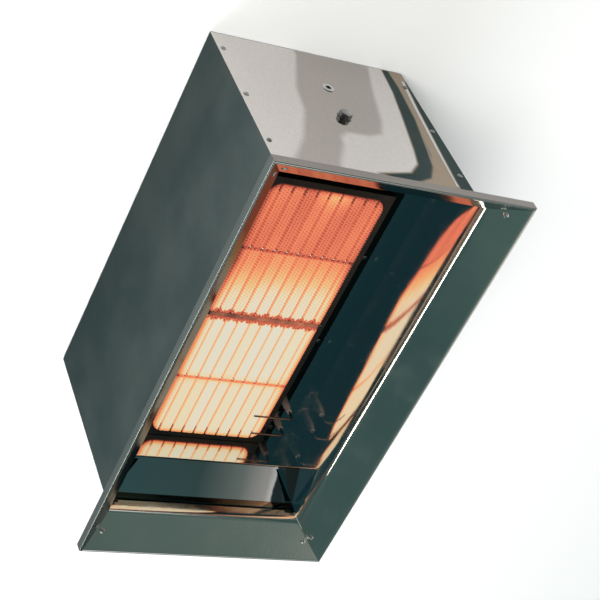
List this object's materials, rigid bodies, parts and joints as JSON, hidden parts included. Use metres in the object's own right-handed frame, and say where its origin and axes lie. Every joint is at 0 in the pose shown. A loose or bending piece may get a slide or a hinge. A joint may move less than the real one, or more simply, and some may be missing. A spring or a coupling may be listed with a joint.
{
  "type": "gas infrared heater",
  "caption": "Ceramic-plaque infrared gas heater in a mirror-finished sheet-metal housing with a flared rim.",
  "frame": {"origin": "middle of the back cover's outer face, under the middle of the housing", "axes": "+Z out of the radiant opening, +X along the housing from the plain end to the gas end, +Y across it towards the electrodes"},
  "size_m": [0.556, 0.316, 0.2927],
  "materials": {
    "side_steel": "mirror-polished stainless sheet",
    "end_steel": "mirror-polished stainless sheet",
    "fastener_steel": "bright zinc",
    "sheet_zinc": "zinc-plated sheet",
    "tray_steel": "bright stainless sheet",
    "burner_steel": "heat-tinted steel",
    "fibre": "ceramic fibre sheet",
    "ceramic_hot": "glowing porous ceramic",
    "seam_fibre": "rough ceramic fibre",
    "mirror_steel": "polished reflector sheet",
    "gasket_black": "black gasket sheet",
    "brass": "machined brass",
    "cast_alloy": "die-cast alloy",
    "coil_black": "black moulded plastic",
    "seal_rubber": "black rubber",
    "box_plastic": "light grey moulded plastic",
    "ceramic_white": "glazed white ceramic",
    "lead_red": "red silicone"
  },
  "bodies": {
    "housing": {"left_side_panel": "side_steel", "right_side_panel": "side_steel", "plain_end_panel": "end_steel", "gas_end_panel": "end_steel", "end_rivets": "fastener_steel", "corner_gussets": "sheet_zinc", "corner_rivets": "fastener_steel", "pivot_doublers": "sheet_zinc", "pivot_bolts": "fastener_steel", "toothed_washers": "fastener_steel", "pivot_nuts": "fastener_steel", "locking_inserts": "fastener_steel", "back_cover": "sheet_zinc", "cover_screws": "fastener_steel", "tray_rails": "sheet_zinc", "burner_tray": "tray_steel", "tray_screws": "fastener_steel", "plenum": "burner_steel", "plenum_screws": "fastener_steel", "baffle": "sheet_zinc", "cross_bar": "sheet_zinc", "gasket": "fibre", "plaque_1": "ceramic_hot", "plaque_2": "ceramic_hot", "plaque_3": "ceramic_hot", "plaque_4": "ceramic_hot", "centre_seam": "seam_fibre", "retaining_frame": "burner_steel", "frame_screws": "fastener_steel", "end_reflector": "mirror_steel", "mixing_tube": "sheet_zinc", "tube_gasket": "gasket_black", "tube_screws": "fastener_steel", "injector": "brass", "injector_bracket": "sheet_zinc", "gas_pipe": "brass", "component_plate": "sheet_zinc", "valve_bracket": "sheet_zinc", "valve_body": "cast_alloy", "armature_tube": "fastener_steel", "valve_coil": "coil_black", "coil_nut": "fastener_steel", "coil_plug": "coil_black", "valve_spring": "fastener_steel", "inlet_union": "brass", "inlet_locknut": "brass", "cable_gland": "coil_black", "gland_locknut": "coil_black", "control_box": "box_plastic", "control_box_lid": "box_plastic", "electrode_bracket": "sheet_zinc", "spark_insulator": "ceramic_white", "spark_rod": "fastener_steel", "sense_insulator": "ceramic_white", "sense_rod": "fastener_steel", "ignition_leads": "lead_red"},
    "plunger": {"valve_plunger": "fastener_steel", "valve_seal": "seal_rubber"}
  },
  "joints": [
    {"name": "valve_lift", "type": "slide", "parent": "housing", "child": "plunger", "axis": [0, 0, 1], "range_m": [0, 0.002], "stiffness_N_per_m": 300, "springref_m": -0.004, "deforming": ["valve_spring"]}
  ]
}
